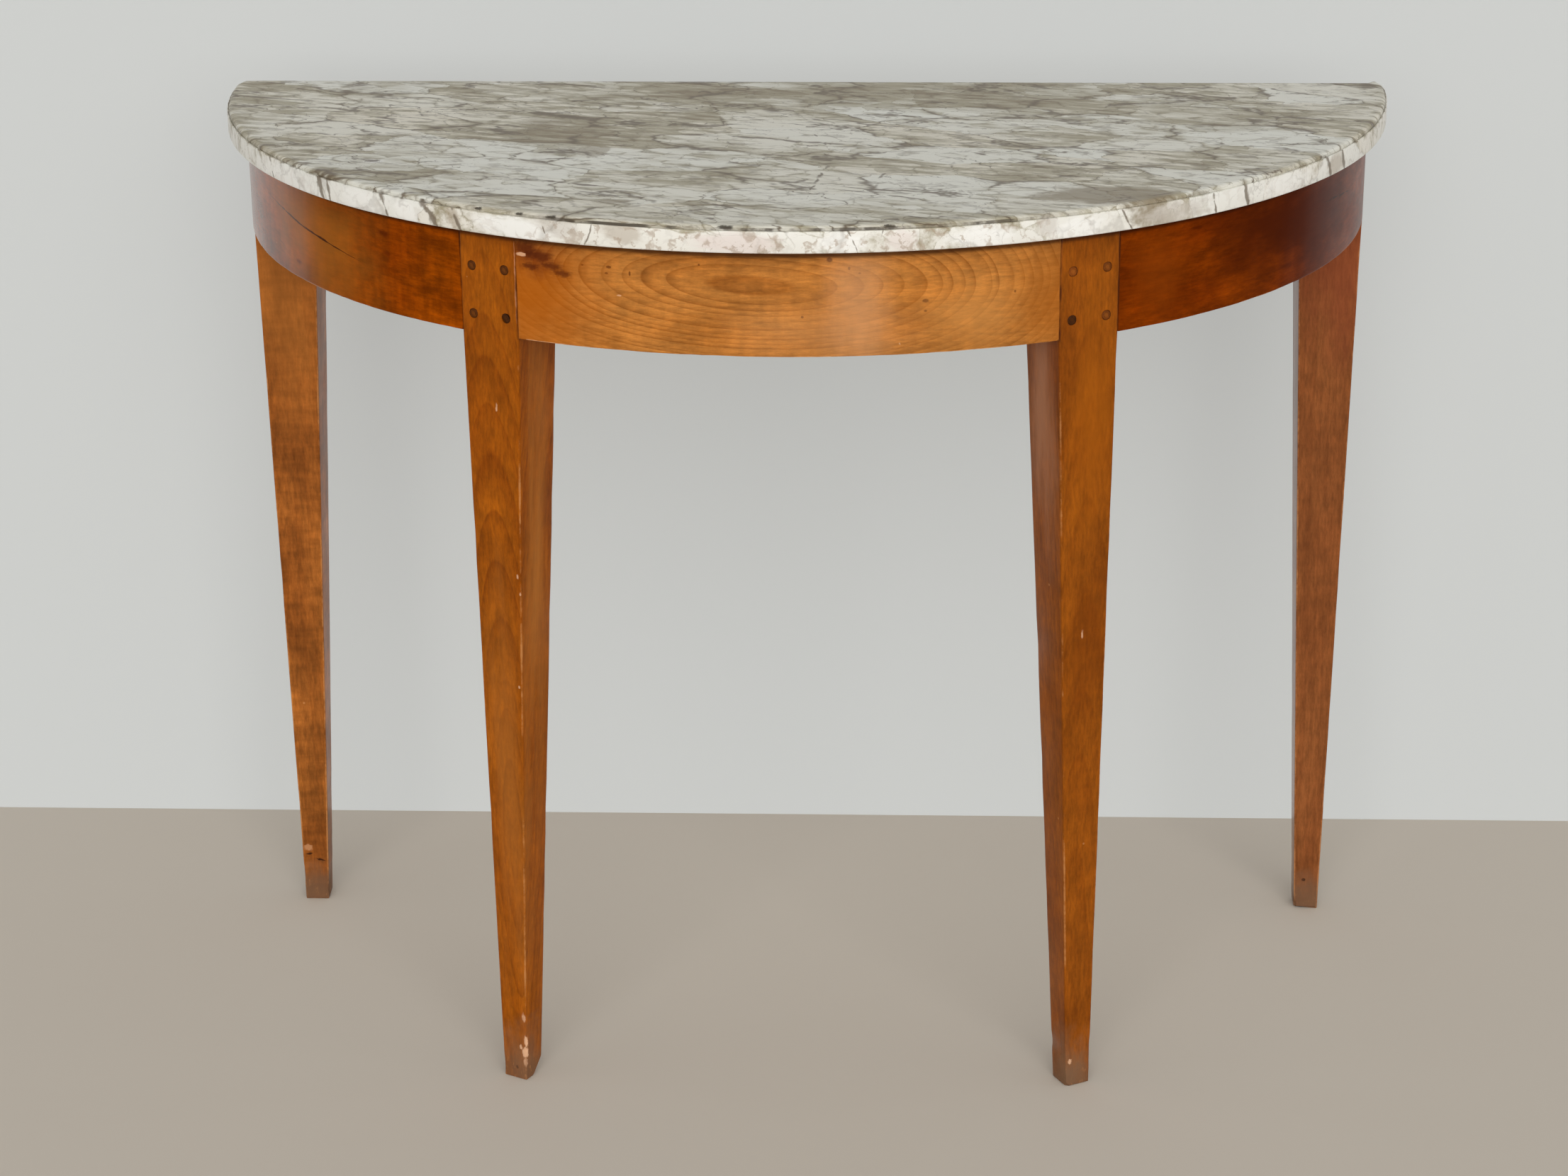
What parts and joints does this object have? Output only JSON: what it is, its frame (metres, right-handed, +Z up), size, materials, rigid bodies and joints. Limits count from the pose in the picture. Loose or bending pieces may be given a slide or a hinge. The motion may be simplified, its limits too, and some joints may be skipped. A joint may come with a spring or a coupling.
{
  "type": "demilune table",
  "caption": "Half-round console table: loose marble slab with a moulded edge on curved aprons, square tapered legs and pegged tenon joints; stands against a wall.",
  "frame": {"origin": "on the floor under the middle of the slab's box", "axes": "+X to the right along the straight back edge, +Y towards the wall, +Z up"},
  "size_m": [1.024, 0.5119, 0.78],
  "materials": {
    "marble": "polished veined marble, slightly worn",
    "apron_wood": "waxed fruitwood, satin",
    "leg_wood": "waxed fruitwood with worn edges",
    "inner_wood": "bare planed wood, dull",
    "peg_wood": "end grain, waxed"
  },
  "bodies": {
    "frame": {"apron_centre": "apron_wood", "apron_left": "apron_wood", "apron_right": "apron_wood", "back_rail": "inner_wood", "cross_bearer": "inner_wood", "leg_front_left": "leg_wood", "leg_front_right": "leg_wood", "leg_rear_left": "leg_wood", "leg_rear_right": "leg_wood", "peg_front_left_inner_upper": "peg_wood", "peg_front_left_inner_lower": "peg_wood", "peg_front_left_outer_upper": "peg_wood", "peg_front_left_outer_lower": "peg_wood", "peg_front_right_inner_upper": "peg_wood", "peg_front_right_inner_lower": "peg_wood", "peg_front_right_outer_upper": "peg_wood", "peg_front_right_outer_lower": "peg_wood", "peg_rear_left_side_upper": "peg_wood", "peg_rear_left_side_lower": "peg_wood", "peg_rear_left_back_upper": "peg_wood", "peg_rear_left_back_lower": "peg_wood", "peg_rear_right_side_upper": "peg_wood", "peg_rear_right_side_lower": "peg_wood", "peg_rear_right_back_upper": "peg_wood", "peg_rear_right_back_lower": "peg_wood"},
    "slab": {"marble_top": "marble"}
  },
  "joints": [
    {"name": "top_lift", "type": "slide", "parent": "frame", "child": "slab", "axis": [0, 0, 1], "range_m": [0, 0.25]}
  ]
}
